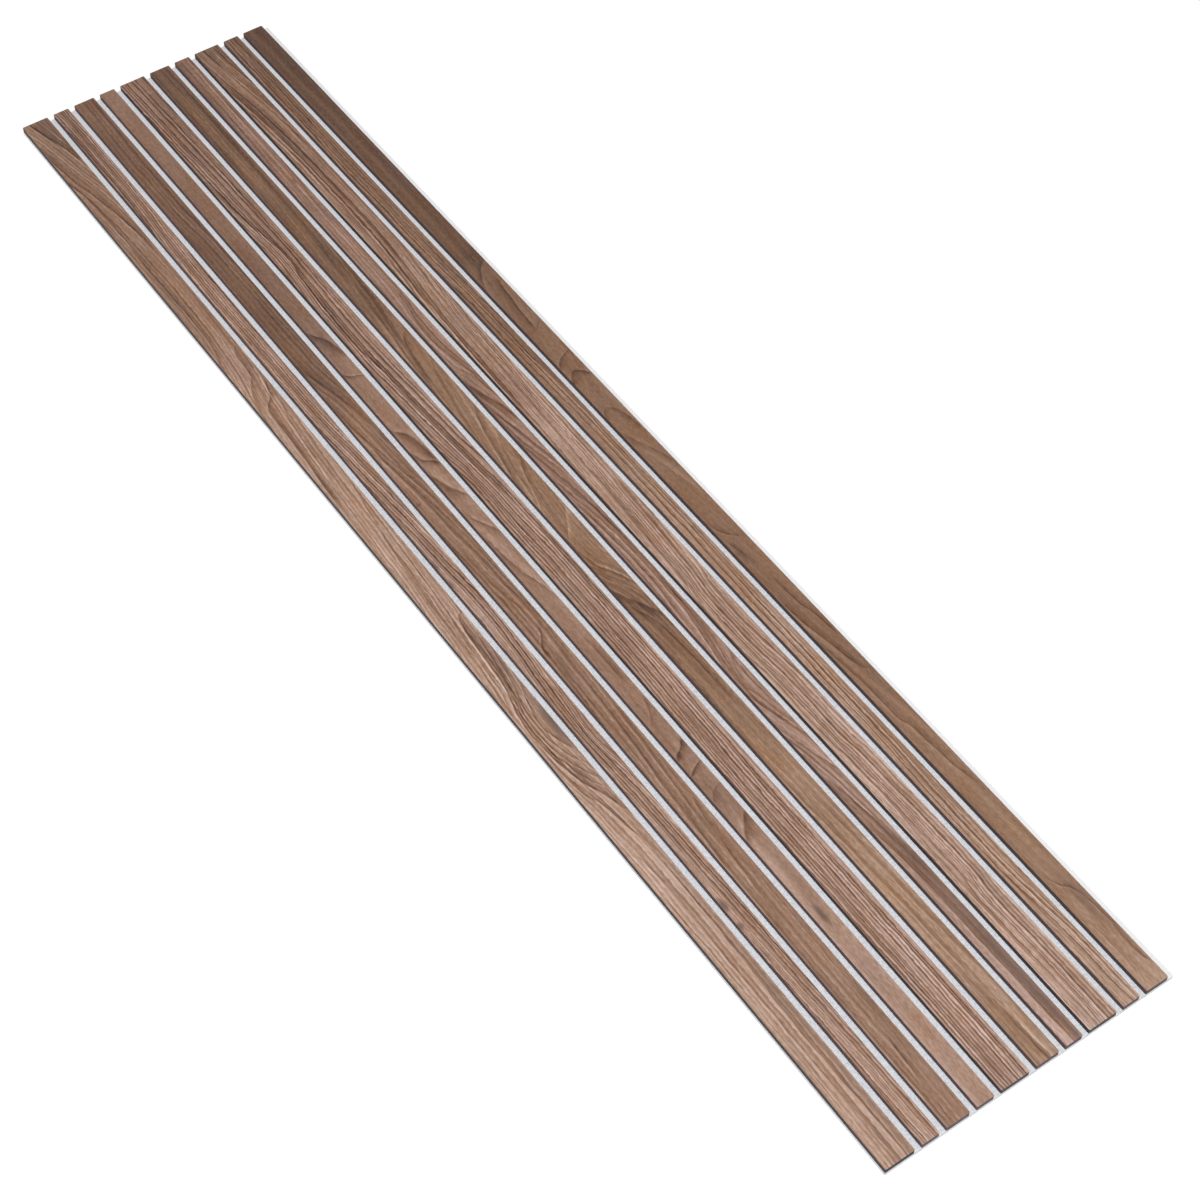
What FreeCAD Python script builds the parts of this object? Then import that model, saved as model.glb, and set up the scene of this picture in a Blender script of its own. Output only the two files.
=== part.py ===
import FreeCAD, Part
import os
import Sketcher

# Acoustic slat wall panel: veneered slats of three widths on a felt board, in millimetres.
# The panel lies on its back. X runs across the slats, Y along them and Z out of the felt.
# The origin is the middle of the felt's back face, which goes against the wall.

# Driving sizes: alias, value, meaning
SIZES = (
    ("panel_length", 3000, "length of the felt and of every slat"),
    ("wide_slat", 60, "width of a wide slat"),
    ("medium_slat", 48, "width of a medium slat"),
    ("narrow_slat", 36, "width of a narrow slat"),
    ("slat_gap", 15, "open felt between two slats, and past the last one"),
    ("felt_thickness", 9, "thickness of the felt board"),
    ("core_thickness", 11.4, "thickness of a slat's black fibreboard core"),
    ("veneer_thickness", 0.6, "thickness of the walnut face"),
    ("veneer_arris", 0.3, "sanded bevel all round the veneer's face"),
    ("slat_corner", 1.2, "sanded bevel on the upright corners of every slat"),
    ("felt_corner", 2, "radius of the felt's cut corners"),
    ("staple_crown", 10, "width of a staple over its legs"),
    ("staple_wire_width", 1.2, "width of the staple's flat wire"),
    ("staple_wire_thickness", 0.8, "thickness of the staple's flat wire"),
    ("staple_bend", 0.7, "bevel where the wire turns from crown to leg"),
    ("staple_cover", 4.4, "core left between a staple's points and the veneer"),
    ("staple_count", 7, "staples behind each slat"),
    ("staple_margin", 60, "from the panel's end to the middle of the nearest staple"),
)

# The slats from the left edge to the right
LAYOUT = (
    "wide", "narrow", "medium", "narrow", "wide",
    "medium", "narrow", "wide", "narrow", "medium",
)

# Heights above the wall, worked out from the sheet
CORE_TOP = "Sizes.felt_thickness + Sizes.core_thickness"
STAPLE_POINT = f"{CORE_TOP} - Sizes.staple_cover"
STAPLE_SPAN = "(Sizes.panel_length - 2 * Sizes.staple_margin)"

doc = FreeCAD.newDocument("slat_panel")


# Sheet of driving sizes

def make_sheet():
    sheet = doc.addObject("Spreadsheet::Sheet", "Sizes")
    for row, (alias, value, meaning) in enumerate(SIZES, start=1):
        sheet.set(f"A{row}", meaning)
        sheet.set(f"B{row}", str(value))
        sheet.setAlias(f"B{row}", alias)
    doc.recompute()


# Places across the panel

def slat_width(kind):
    return f"Sizes.{kind}_slat"


def run_of_slats(kinds):
    """Width that these slats take, each with the gap to its right."""
    steps = [f"{slat_width(kind)} + Sizes.slat_gap" for kind in kinds]
    return " + ".join(steps) if steps else "0"


PANEL_WIDTH = f"({run_of_slats(LAYOUT)})"


def slat_middle(number):
    """X of the middle of a slat; slats are numbered from 0 at the left edge."""
    before = run_of_slats(LAYOUT[:number])
    return f"{before} + {slat_width(LAYOUT[number])} / 2 - {PANEL_WIDTH} / 2"


# Shared construction

def new_body(label, middle):
    body = doc.addObject("PartDesign::Body", label)
    body.Label = label
    body.AllowCompound = True
    body.setExpression("Placement.Base.x", middle)
    return body


def origin_plane(body, role):
    return next(item for item in body.Origin.OriginFeatures if item.Role == role)


def outline(body, name, role, corners):
    """Closed sketch of straight lines; each corner is a pair of expressions in the sketch's axes."""
    sketch = body.newObject("Sketcher::SketchObject", f"{body.Label}_{name}")
    sketch.AttachmentSupport = [(origin_plane(body, role), "")]
    sketch.MapMode = "FlatFace"
    points = []
    for across, up in corners:
        values = [float(sketch.evalExpression(text)) for text in (across, up)]
        points.append(FreeCAD.Vector(values[0], values[1], 0))
    for index, start in enumerate(points):
        end = points[(index + 1) % len(points)]
        sketch.addGeometry(Part.LineSegment(start, end), False)
    for index, point in enumerate(points):
        after = (index + 1) % len(points)
        sketch.addConstraint(Sketcher.Constraint("Coincident", index, 2, after, 1))
    for index, (across, up) in enumerate(corners):
        for direction, text, value in (
            ("DistanceX", across, points[index].x),
            ("DistanceY", up, points[index].y),
        ):
            place = Sketcher.Constraint(direction, -1, 1, index, 1, value)
            number = sketch.addConstraint(place)
            sketch.setExpression(f"Constraints[{number}]", text)
    return sketch


def pad(body, name, sketch, length, sides):
    feature = body.newObject("PartDesign::Pad", f"{body.Label}_{name}")
    feature.Profile = sketch
    feature.SideType = sides
    feature.setExpression("Length", length)
    body.Tip = feature
    return feature


# Staples: a row of flat wire staples, crown along the slat and flush with the felt's back

HALF_CROWN = "Sizes.staple_crown / 2"
INNER_CROWN = "(Sizes.staple_crown / 2 - Sizes.staple_wire_thickness)"
FLAT_CROWN = "(Sizes.staple_crown / 2 - Sizes.staple_bend)"

STAPLE_OUTLINE = (
    (f"-{FLAT_CROWN}", "0"),
    (FLAT_CROWN, "0"),
    (HALF_CROWN, "Sizes.staple_bend"),
    (HALF_CROWN, STAPLE_POINT),
    (INNER_CROWN, STAPLE_POINT),
    (INNER_CROWN, "Sizes.staple_wire_thickness"),
    (f"-{INNER_CROWN}", "Sizes.staple_wire_thickness"),
    (f"-{INNER_CROWN}", STAPLE_POINT),
    (f"-{HALF_CROWN}", STAPLE_POINT),
    (f"-{HALF_CROWN}", "Sizes.staple_bend"),
)


def make_staples(label, number):
    body = new_body(label, slat_middle(number))
    sketch = outline(body, "outline", "YZ_Plane", STAPLE_OUTLINE)
    sketch.setExpression("AttachmentOffset.Base.x", f"-{STAPLE_SPAN} / 2")
    staple = pad(body, "staple", sketch, "Sizes.staple_wire_width", "Symmetric")
    row = body.newObject("PartDesign::LinearPattern", f"{label}_row")
    row.Originals = [staple]
    row.Direction = (sketch, ["H_Axis"])
    row.setExpression("Length", STAPLE_SPAN)
    row.setExpression("Occurrences", "Sizes.staple_count")
    body.Tip = row
    return body


# Boards: the felt, the cores and the veneers are sawn or cut square, with eased corners

def upright_edges(shape):
    names = []
    for index, edge in enumerate(shape.Edges, start=1):
        box = edge.BoundBox
        if box.ZLength > max(box.XLength, box.YLength):
            names.append(f"Edge{index}")
    return names


def top_edges(shape):
    """Names of the edges that lie in the top face, which is the highest."""
    top = max(shape.Faces, key=lambda face: face.CenterOfMass.z)
    names = []
    for index, edge in enumerate(shape.Edges, start=1):
        if any(edge.isSame(border) for border in top.Edges):
            names.append(f"Edge{index}")
    return names


def ease_edges(body, kind, name, pick_edges, measure, size):
    """Fillet or chamfer the picked edges of what the body is so far."""
    doc.recompute()
    shaped = body.Tip
    eased = body.newObject(kind, f"{body.Label}_{name}")
    eased.Base = (shaped, pick_edges(shaped.Shape))
    eased.setExpression(measure, size)
    body.Tip = eased


def bevel(body, name, pick_edges, size):
    ease_edges(body, "PartDesign::Chamfer", name, pick_edges, "Size", size)


def make_board(label, middle, width, base, thickness):
    body = new_body(label, middle)
    half_width = f"{width} / 2"
    half_length = "Sizes.panel_length / 2"
    corners = (
        (f"-{half_width}", f"-{half_length}"),
        (half_width, f"-{half_length}"),
        (half_width, half_length),
        (f"-{half_width}", half_length),
    )
    plan = outline(body, "plan", "XY_Plane", corners)
    plan.setExpression("AttachmentOffset.Base.z", base)
    pad(body, "board", plan, thickness, "One side")
    return body


def slotted(label, board, staples):
    """The board with the slots that its staples fill."""
    cut = doc.addObject("Part::Cut", label)
    cut.Label = label
    cut.Base = board
    cut.Tool = staples
    return cut


def make_felt(staple_rows):
    """One board under all the slats, flush with them at the left and at both ends."""
    board = make_board("felt_board", "0", PANEL_WIDTH, "0", "Sizes.felt_thickness")
    radius = "Sizes.felt_corner"
    ease_edges(board, "PartDesign::Fillet", "corners", upright_edges, "Radius", radius)
    staples = doc.addObject("Part::Compound", "all_staples")
    staples.Links = staple_rows
    return slotted("felt_backing", board, staples)


def make_core(slat, number, staples):
    width = slat_width(LAYOUT[number])
    middle = slat_middle(number)
    base = "Sizes.felt_thickness"
    strip = make_board(f"{slat}_strip", middle, width, base, "Sizes.core_thickness")
    bevel(strip, "corners", upright_edges, "Sizes.slat_corner")
    return slotted(f"{slat}_core", strip, staples)


def make_veneer(slat, number):
    """A walnut leaf on the core, its face sanded to a fine bevel all round."""
    width = slat_width(LAYOUT[number])
    middle = slat_middle(number)
    leaf = make_board(f"{slat}_veneer", middle, width, CORE_TOP, "Sizes.veneer_thickness")
    bevel(leaf, "corners", upright_edges, "Sizes.slat_corner")
    bevel(leaf, "arris", top_edges, "Sizes.veneer_arris")
    return leaf


# Building, checking and writing

def check(parts):
    for item in doc.Objects:
        if "Invalid" in item.State or "Error" in item.State:
            raise RuntimeError(f"{item.Label} failed to build")
    for part in parts:
        if part.Shape.isNull() or not part.Shape.isValid():
            raise RuntimeError(f"{part.Label} has no valid shape")


def main():
    make_sheet()
    staple_rows = []
    cores = []
    veneers = []
    for number in range(len(LAYOUT)):
        slat = f"slat_{number + 1:02d}"
        staple_rows.append(make_staples(f"{slat}_staples", number))
        cores.append(make_core(slat, number, staple_rows[-1]))
        veneers.append(make_veneer(slat, number))
    parts = [make_felt(staple_rows)] + cores + veneers + staple_rows
    doc.recompute()
    check(parts)
    os.makedirs("parts", exist_ok=True)
    for part in parts:
        part.Shape.exportStep(f"parts/{part.Label}.step")
        box = part.Shape.BoundBox
        print(part.Label, len(part.Shape.Solids), round(part.Shape.Volume), box)


main()
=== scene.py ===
import math
from dataclasses import dataclass

import bmesh
import bpy
from mathutils import Matrix, Vector, noise


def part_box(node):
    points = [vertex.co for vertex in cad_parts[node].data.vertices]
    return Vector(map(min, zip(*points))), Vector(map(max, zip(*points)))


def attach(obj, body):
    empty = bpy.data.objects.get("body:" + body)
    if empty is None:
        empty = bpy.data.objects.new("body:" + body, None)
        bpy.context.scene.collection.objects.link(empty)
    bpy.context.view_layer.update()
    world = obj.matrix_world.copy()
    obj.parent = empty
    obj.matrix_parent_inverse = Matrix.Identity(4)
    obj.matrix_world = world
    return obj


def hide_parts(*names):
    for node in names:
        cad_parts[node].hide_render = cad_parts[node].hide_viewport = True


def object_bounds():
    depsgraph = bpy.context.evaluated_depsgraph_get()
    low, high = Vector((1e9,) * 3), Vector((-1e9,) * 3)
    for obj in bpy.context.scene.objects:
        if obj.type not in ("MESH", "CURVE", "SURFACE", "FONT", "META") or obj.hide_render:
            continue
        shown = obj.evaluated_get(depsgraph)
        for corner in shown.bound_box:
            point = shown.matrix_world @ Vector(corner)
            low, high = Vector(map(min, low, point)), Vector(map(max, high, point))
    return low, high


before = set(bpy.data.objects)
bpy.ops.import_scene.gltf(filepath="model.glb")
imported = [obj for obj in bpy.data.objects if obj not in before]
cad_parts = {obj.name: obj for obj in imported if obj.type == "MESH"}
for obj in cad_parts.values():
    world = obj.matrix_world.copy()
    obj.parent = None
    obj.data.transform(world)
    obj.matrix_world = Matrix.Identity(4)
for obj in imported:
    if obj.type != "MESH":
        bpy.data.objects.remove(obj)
cad_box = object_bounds()

# Lengths are in metres. The panel lies on its back: X across the slats, Y along them, Z up.
# Slats are numbered from the left. The end nearest to the camera is at low Y.

MM = 0.001
SLATS = [f"slat_{number:02d}" for number in range(1, 11)]
LOW = Vector(cad_box[0])
HIGH = Vector(cad_box[1])
LENGTH = HIGH.y - LOW.y
FELT_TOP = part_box("felt_backing")[1][2]


def gap_spans():
    """X of the felt strips that the slats leave open, from the CAD slats."""
    spans = []
    for left, right in zip(SLATS, SLATS[1:]):
        spans.append((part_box(f"{left}_core")[1][0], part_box(f"{right}_core")[0][0]))
    spans.append((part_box(f"{SLATS[-1]}_core")[1][0], HIGH.x))
    return spans


GAPS = gap_spans()


# Colours

WHITE = (1, 1, 1, 1)


def srgb(red, green, blue):
    """Linear colour for a colour written as 8-bit display values."""
    def linear(value):
        value = value / 255
        return value / 12.92 if value <= 0.04045 else ((value + 0.055) / 1.055) ** 2.4
    return (linear(red), linear(green), linear(blue), 1.0)


def darker(colour, share):
    """Linear colour with this share of its light; above 1 it is lighter."""
    red, green, blue, alpha = colour
    return (red * share, green * share, blue * share, alpha)


def warmer(colour, warmth):
    """Linear colour without this share of its blue; below 0 it is cooler."""
    red, green, blue, alpha = colour
    return (red, green, blue * (1 - warmth), alpha)


# Objects

def add_object(name, data):
    made = bpy.data.objects.new(name, data)
    bpy.context.scene.collection.objects.link(made)
    return made


def add_mesh(name, shape, material):
    """Object from a bmesh, which it frees."""
    mesh = bpy.data.meshes.new(name)
    shape.to_mesh(mesh)
    shape.free()
    mesh.materials.append(material)
    return add_object(name, mesh)


# Camera, as in the photograph

CAMERA_PLACE = Vector((-1.6375, -2.6464, 3.6616))
CAMERA_AIM = Vector((-0.0180, -0.2954, 0.0210))
CAMERA_ROLL = math.radians(-0.43)
CAMERA_LENS = 74.4
CAMERA_SENSOR = 36
CAMERA_REACH = 100


def add_camera():
    data = bpy.data.cameras.new("camera")
    data.lens = CAMERA_LENS
    data.sensor_width = CAMERA_SENSOR
    data.clip_end = CAMERA_REACH
    camera = add_object("camera", data)
    aim = (CAMERA_AIM - CAMERA_PLACE).to_track_quat("-Z", "Y")
    turn = aim.to_matrix() @ Matrix.Rotation(CAMERA_ROLL, 3, "Z")
    camera.matrix_world = Matrix.Translation(CAMERA_PLACE) @ turn.to_4x4()
    bpy.context.scene.camera = camera


# Light: one large soft lamp high over the near end, aimed at the panel's middle

LAMP_PLACE = Vector((-1.3, -2.2, 8.0))
LAMP_SIZE = 4.5
LAMP_POWER = 470


def add_lamp():
    data = bpy.data.lights.new("softbox", "AREA")
    data.shape = "SQUARE"
    data.size = LAMP_SIZE
    data.energy = LAMP_POWER
    lamp = add_object("softbox", data)
    lamp.location = LAMP_PLACE
    lamp.rotation_euler = (-LAMP_PLACE).to_track_quat("-Z", "Y").to_euler()


# Node helpers

class Net:
    """Short calls for building one node tree. A value is a number or the socket that gives it."""

    def __init__(self, tree):
        self.tree = tree

    def node(self, kind, inputs=None, **settings):
        made = self.tree.nodes.new(kind)
        for key, value in settings.items():
            setattr(made, key, value)
        for key, value in (inputs or {}).items():
            self.plug(made.inputs[key], value)
        return made

    def plug(self, socket, value):
        if isinstance(value, bpy.types.NodeSocket):
            self.tree.links.new(value, socket)
        else:
            socket.default_value = value

    def group(self, tree, values):
        """What a node group makes of these values, which are in its inputs' order."""
        made = self.node("ShaderNodeGroup", node_tree=tree)
        for socket, value in zip(made.inputs, values):
            self.plug(socket, value)
        return made.outputs[0]

    def math(self, operation, first, second=0.0, third=0.0, clamp=False):
        made = self.node("ShaderNodeMath", operation=operation, use_clamp=clamp)
        for socket, value in zip(made.inputs, (first, second, third)):
            self.plug(socket, value)
        return made.outputs[0]

    def add(self, first, *others):
        for other in others:
            first = self.math("ADD", first, other)
        return first

    def times(self, first, second):
        return self.math("MULTIPLY", first, second)

    def stretched(self, axes, scales):
        """Place with each axis multiplied by its own scale."""
        parts = [self.times(axis, scale) for axis, scale in zip(axes, scales)]
        return self.place(*parts)

    def place(self, x, y, z):
        return self.node("ShaderNodeCombineXYZ", {"X": x, "Y": y, "Z": z}).outputs[0]

    def noise(self, place, scale, detail, roughness=0.5):
        """Smooth noise about zero, from -0.5 to 0.5."""
        made = self.node(
            "ShaderNodeTexNoise",
            {"Vector": place, "Scale": scale, "Detail": detail, "Roughness": roughness},
        )
        return self.math("SUBTRACT", made.outputs[0], 0.5)

    def noise_line(self, value, scale, detail, roughness=0.5):
        """Noise about zero along one value."""
        made = self.node(
            "ShaderNodeTexNoise",
            {"W": value, "Scale": scale, "Detail": detail, "Roughness": roughness},
            noise_dimensions="1D",
        )
        return self.math("SUBTRACT", made.outputs[0], 0.5)

    def ramp(self, value, stops):
        made = self.node("ShaderNodeValToRGB", {"Fac": value})
        bar = made.color_ramp
        while len(bar.elements) < len(stops):
            bar.elements.new(0.5)
        for element, (position, colour) in zip(bar.elements, stops):
            element.position = position
            element.color = colour
        return made.outputs[0]

    def range(self, value, low, high, start=0.0, end=1.0, kind="SMOOTHSTEP"):
        """Goes from start to end while the value goes from low to high."""
        made = self.node(
            "ShaderNodeMapRange",
            {"Value": value, "From Min": low, "From Max": high, "To Min": start, "To Max": end},
            interpolation_type=kind,
        )
        return made.outputs[0]

    def curve(self, value, points):
        """Smooth curve through the given points; both its axes run from 0 to 1."""
        made = self.node("ShaderNodeFloatCurve", {"Value": value})
        line = made.mapping.curves[0]
        while len(line.points) < len(points):
            line.points.new(0.5, 0.5)
        for point, (across, up) in zip(line.points, points):
            point.location = (across, up)
        made.mapping.update()
        return made.outputs[0]


def new_material(name, constants=None):
    """Material, its net and its shader, which gets these constants."""
    material = bpy.data.materials.new(name)
    material.use_nodes = True
    material.node_tree.nodes.clear()
    net = Net(material.node_tree)
    shader = net.node("ShaderNodeBsdfPrincipled", constants)
    output = net.node("ShaderNodeOutputMaterial")
    net.plug(output.inputs["Surface"], shader.outputs[0])
    return material, net, shader


def finish_surface(net, shader, colour, roughness, relief, strength, depth):
    """Colour and roughness, and a bump of this strength and depth from the relief."""
    net.plug(shader.inputs["Base Color"], colour)
    net.plug(shader.inputs["Roughness"], roughness)
    bump = net.node("ShaderNodeBump", {"Height": relief, "Strength": strength, "Distance": depth})
    net.plug(shader.inputs["Normal"], bump.outputs[0])


def object_place(net):
    """Place on the object, whole and as its X, Y and Z."""
    place = net.node("ShaderNodeTexCoord").outputs["Object"]
    parts = net.node("ShaderNodeSeparateXYZ", {0: place})
    return place, list(parts.outputs)


# Walnut veneer

# Colours of the wood from its darkest lines to its palest streaks, as display values. A slat's
# tone runs from 0 to about 1; streaks may pass 1, up to TONE_TOP.
TONE_TOP = 1.25
WALNUT = (
    (0.00, srgb(44, 25, 17)),
    (0.20, srgb(84, 55, 39)),
    (0.40, srgb(122, 89, 69)),
    (0.60, srgb(155, 121, 100)),
    (0.80, srgb(193, 162, 146)),
    (1.00, srgb(225, 200, 188)),
)
GREY_HEART = srgb(116, 97, 90)


@dataclass
class Figure:
    """What the grain of one slat does. Places along a slat are millimetres from its far end, and
    places across it are millimetres from its middle, to the right.

    rate      rings crossed from side to side: 1 for straight grain, little for a flat-cut leaf
    spacing   from one growth line to the next, in millimetres of ring depth
    lines     how dark the growth lines are
    streaks   how strong the streaks are that follow the rings
    warmth    share of its blue that the wood of this leaf lacks; below 0 it is cooler
    tone      how light the wood is at places along the slat; its rise toward the near end is
          painted sheen, not the wood's own tone
    run       where a growth line runs, across the slat, at places along it
    bends     places where the lines bow aside: (along, across, half length, half width, bow)
    patches   darker or lighter places: (along, across, half length, half width, tone)
    veins     the marked lines: (width, darkness, point, point, ...), pale where the darkness is
              below 0. Each has a sharp side and fades to the other: to the right, or to the left
              where the width is below 0
    """
    rate: float
    spacing: float
    lines: float
    streaks: float
    warmth: float
    tone: tuple
    run: tuple
    bends: tuple = ()
    patches: tuple = ()
    veins: tuple = ()


FIGURES = {}

FIGURES["slat_01"] = Figure(
    rate=0.9, spacing=7.0, lines=0.24, streaks=0.30, warmth=0.02,
    tone=((0, 0.66), (600, 0.68), (1200, 0.84), (1800, 0.89), (2400, 0.91), (3000, 0.86)),
    run=((0, 0), (170, 30), (480, 66), (700, 70), (850, 64), (1050, 40), (1300, 25), (1500, 16),
         (1700, 4), (1850, -4), (1985, -8), (2200, 6), (2400, 14), (3000, 14)),
    bends=((1985, 32, 130, 40, -20),),
    patches=((1985, 25, 40, 9, -0.32), (1930, 27, 170, 9, -0.12), (15, 14, 60, 12, -0.15),
             (640, -16, 70, 7, -0.12), (1790, 18, 90, 7, -0.12), (2110, 8, 45, 9, -0.12),
             (2750, 24, 420, 8, -0.13)),
    veins=(
        (8, 0.42, (0, -13), (50, -2), (100, 12), (170, 26)),
        (5, 0.20, (0, 20), (60, 22), (130, 27)),
        (4, 0.34, (110, -29), (200, -21), (290, -3), (370, 11), (480, 22)),
        (5, 0.24, (230, -29), (320, -17), (420, -13), (560, -16), (680, -13), (760, -12),
         (820, -17), (870, -29)),
        (5, 0.22, (840, 28), (865, 13), (930, 8), (960, -5), (1000, -19), (1040, -24)),
        (6, 0.30, (950, 27), (1005, 12), (1040, -9), (1100, -12), (1200, -17), (1330, -25)),
        (3, 0.14, (1020, 24), (1080, 12), (1180, 2), (1290, -8), (1430, -14)),
        (3, 0.20, (1290, 27), (1350, 18), (1430, 8), (1520, -2), (1600, -8), (1720, -14)),
        (5, 0.44, (1680, 27), (1700, 14), (1760, 7), (1850, 1), (1900, -8), (1945, -18),
         (1990, -21), (2060, -15), (2120, -3), (2160, 12), (2215, 27)),
        (3, 0.34, (1760, 11), (1850, 6), (1910, -4), (1960, -15), (2010, -15), (2080, -4),
         (2130, 12), (2150, 24)),
        (3, 0.36, (1740, 24), (1830, 12), (1910, 0), (1975, -10), (2040, -5), (2090, 8),
         (2125, 24)),
        (3, 0.36, (1800, 26), (1880, 12), (1940, -1), (1980, -3), (2030, 3), (2090, 26)),
        (3, 0.34, (1880, 27), (1930, 12), (1975, 5), (2020, 13), (2055, 27)),
        (3, 0.24, (1500, 14), (1620, 10), (1740, -3), (1870, -13), (1925, -27)),
        (3, 0.20, (1500, 4), (1620, 0), (1740, -9), (1850, -19), (1900, -28)),
        (3, 0.20, (2010, -28), (2080, -22), (2150, -9), (2200, 2), (2240, 10)),
        (5, 0.24, (2060, -28), (2140, -16), (2190, 0), (2250, 9), (2300, 17), (2450, 17),
         (2600, 14), (2750, 10), (2880, 13), (3000, 15)),
        (3, 0.18, (2300, -20), (2400, -5), (2470, -5), (2600, -8), (2900, -4), (3000, -2)),
        (3, 0.14, (2400, -28), (2520, -22), (2800, -18), (3000, -22)),
    ),
)

FIGURES["slat_02"] = Figure(
    rate=1.0, spacing=5.4, lines=0.56, streaks=0.40, warmth=-0.02,
    tone=((0, 0.59), (600, 0.66), (1200, 0.70), (1800, 0.74), (2400, 0.71), (3000, 0.77)),
    run=((0, 0), (150, 3), (320, 4), (500, -2), (750, -4), (1050, -1), (1250, 9), (1450, 22),
         (1600, 28), (1700, 33), (1800, 30), (1900, 22), (1990, 18), (2100, 20), (2250, 26),
         (2500, 31), (3000, 44)),
    bends=((2050, 10, 70, 14, -10),),
    patches=((2465, -13, 11, 4, -0.56), (2515, -14, 7, 5, -0.34), (1560, -16, 12, 3, -0.25),
             (1615, -16, 10, 3, -0.20), (2580, -13, 8, 4, -0.14)),
    veins=(
        (3, 0.24, (0, -13), (150, -12), (320, -11), (480, -16)),
        (3, 0.20, (1090, -13), (1250, 0), (1350, 6), (1460, 15)),
        (3, 0.22, (1480, -8), (1600, -3), (1700, 3), (1770, 1), (1850, -5), (1940, -12)),
        (3, 0.22, (1880, 15), (1950, 6), (2010, -1), (2050, -4), (2090, -1), (2140, 8),
         (2190, 15)),
        (4, 0.16, (1950, -8), (2050, -12), (2130, -9)),
        (3, -0.12, (2360, -8), (2480, -6), (2620, 0)),
    ),
)

FIGURES["slat_03"] = Figure(
    rate=0.45, spacing=6.0, lines=0.16, streaks=0.30, warmth=0.02,
    tone=((0, 0.47), (600, 0.41), (950, 0.42), (1200, 0.60), (1800, 0.62), (2400, 0.66),
          (3000, 0.72)),
    run=((0, 0), (150, -2), (350, -4), (600, 6), (950, 8), (1000, 10), (1100, 26), (1200, 34),
         (1300, 40), (1400, 50), (1500, 54), (1700, 62), (1780, 64), (1900, 60), (2100, 50),
         (2300, 38), (2500, 34), (3000, 32)),
    patches=((180, -20, 80, 6, -0.10), (860, -6, 40, 4, -0.10), (1885, -2, 26, 8, -0.10),
             (1415, -17, 3, 5, -0.28), (2740, 19, 40, 4, -0.14), (2950, 14, 160, 10, -0.06)),
    veins=(
        (3, -0.10, (290, -11), (370, -9), (460, 0), (570, 4)),
        (7, 0.20, (985, -22), (1050, -6), (1100, 5), (1170, 14), (1270, 21)),
        (4, 0.20, (1185, -19), (1250, -9), (1330, 3), (1415, 14)),
        (3, -0.12, (1190, -16), (1250, -6), (1330, 6), (1405, 16)),
        (4, 0.18, (1255, -22), (1300, -12), (1400, 0), (1480, 10), (1620, 18), (1760, 21)),
        (3, 0.18, (1490, -2), (1600, 2), (1660, 6), (1700, 13), (1800, 19)),
        (4, 0.18, (1575, -14), (1640, -12), (1680, -8), (1740, 2), (1795, 3)),
        (4, 0.34, (1785, 4), (1800, 2), (1812, -2), (1824, -10), (1838, -17), (1856, -19)),
        (4, 0.16, (1850, -20), (1920, -15), (2050, -13), (2190, -19)),
        (3, 0.16, (1950, 6), (2050, 2), (2120, -3), (2210, -13)),
        (3, 0.16, (2040, 17), (2150, 10), (2250, 4), (2310, -3)),
        (4, 0.20, (2255, 19), (2310, 8), (2360, 5), (2430, -2), (2530, -8)),
        (4, 0.14, (2250, 1), (2300, -12), (2410, -21)),
        (4, 0.14, (2440, 17), (2600, 14), (2780, 14), (2860, 9)),
        (3, 0.22, (2810, 1), (2880, -4), (2950, -9), (3000, -10)),
    ),
)

FIGURES["slat_04"] = Figure(
    rate=0.16, spacing=5.0, lines=0.06, streaks=0.20, warmth=-0.02,
    tone=((0, 0.64), (500, 0.57), (700, 0.52), (900, 0.60), (1200, 0.73), (1800, 0.70),
          (2250, 0.66), (2450, 0.80), (3000, 0.82)),
    run=((0, 0), (600, 4), (900, 30), (1300, 60), (1600, 110), (1800, 130), (2100, 140),
         (2400, 100), (3000, 90)),
    patches=((2575, -2, 18, 4, -0.54), (2500, 6, 70, 9, -0.05), (925, 2, 25, 14, -0.10),
             (2285, 0, 50, 14, -0.10), (1935, 4, 45, 6, -0.08)),
    veins=(
        (-12, 0.30, (900, -18), (922, -5), (935, 4), (955, 9), (990, 16)),
        (-9, 0.28, (1040, -18), (1052, -6), (1055, 3), (1064, 16)),
        (-12, 0.30, (1226, -18), (1238, -6), (1255, 3), (1290, 10), (1335, 15)),
        (-10, 0.30, (1295, -17), (1320, -11), (1329, -3), (1336, 8), (1348, 15)),
        (-13, 0.28, (1368, -17), (1395, -10), (1420, -1), (1445, 14)),
        (-7, 0.20, (1478, -15), (1500, -10), (1530, 4), (1560, 16)),
        (4, -0.14, (1495, -12), (1520, 0), (1545, 14)),
        (-6, 0.24, (1555, -16), (1640, -8), (1700, 5), (1745, 15)),
        (5, 0.18, (1870, 3), (1930, 6), (1985, 1)),
        (5, 0.18, (2035, 14), (2065, 4), (2092, -10)),
        (12, 0.36, (2146, 16), (2162, 4), (2170, -8), (2182, -16)),
        (10, 0.30, (2203, 16), (2211, 0), (2222, -15)),
        (10, 0.16, (2260, 16), (2268, 0), (2288, -15)),
        (12, 0.30, (2335, 16), (2350, 5), (2370, -8), (2388, -17)),
    ),
)

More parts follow.
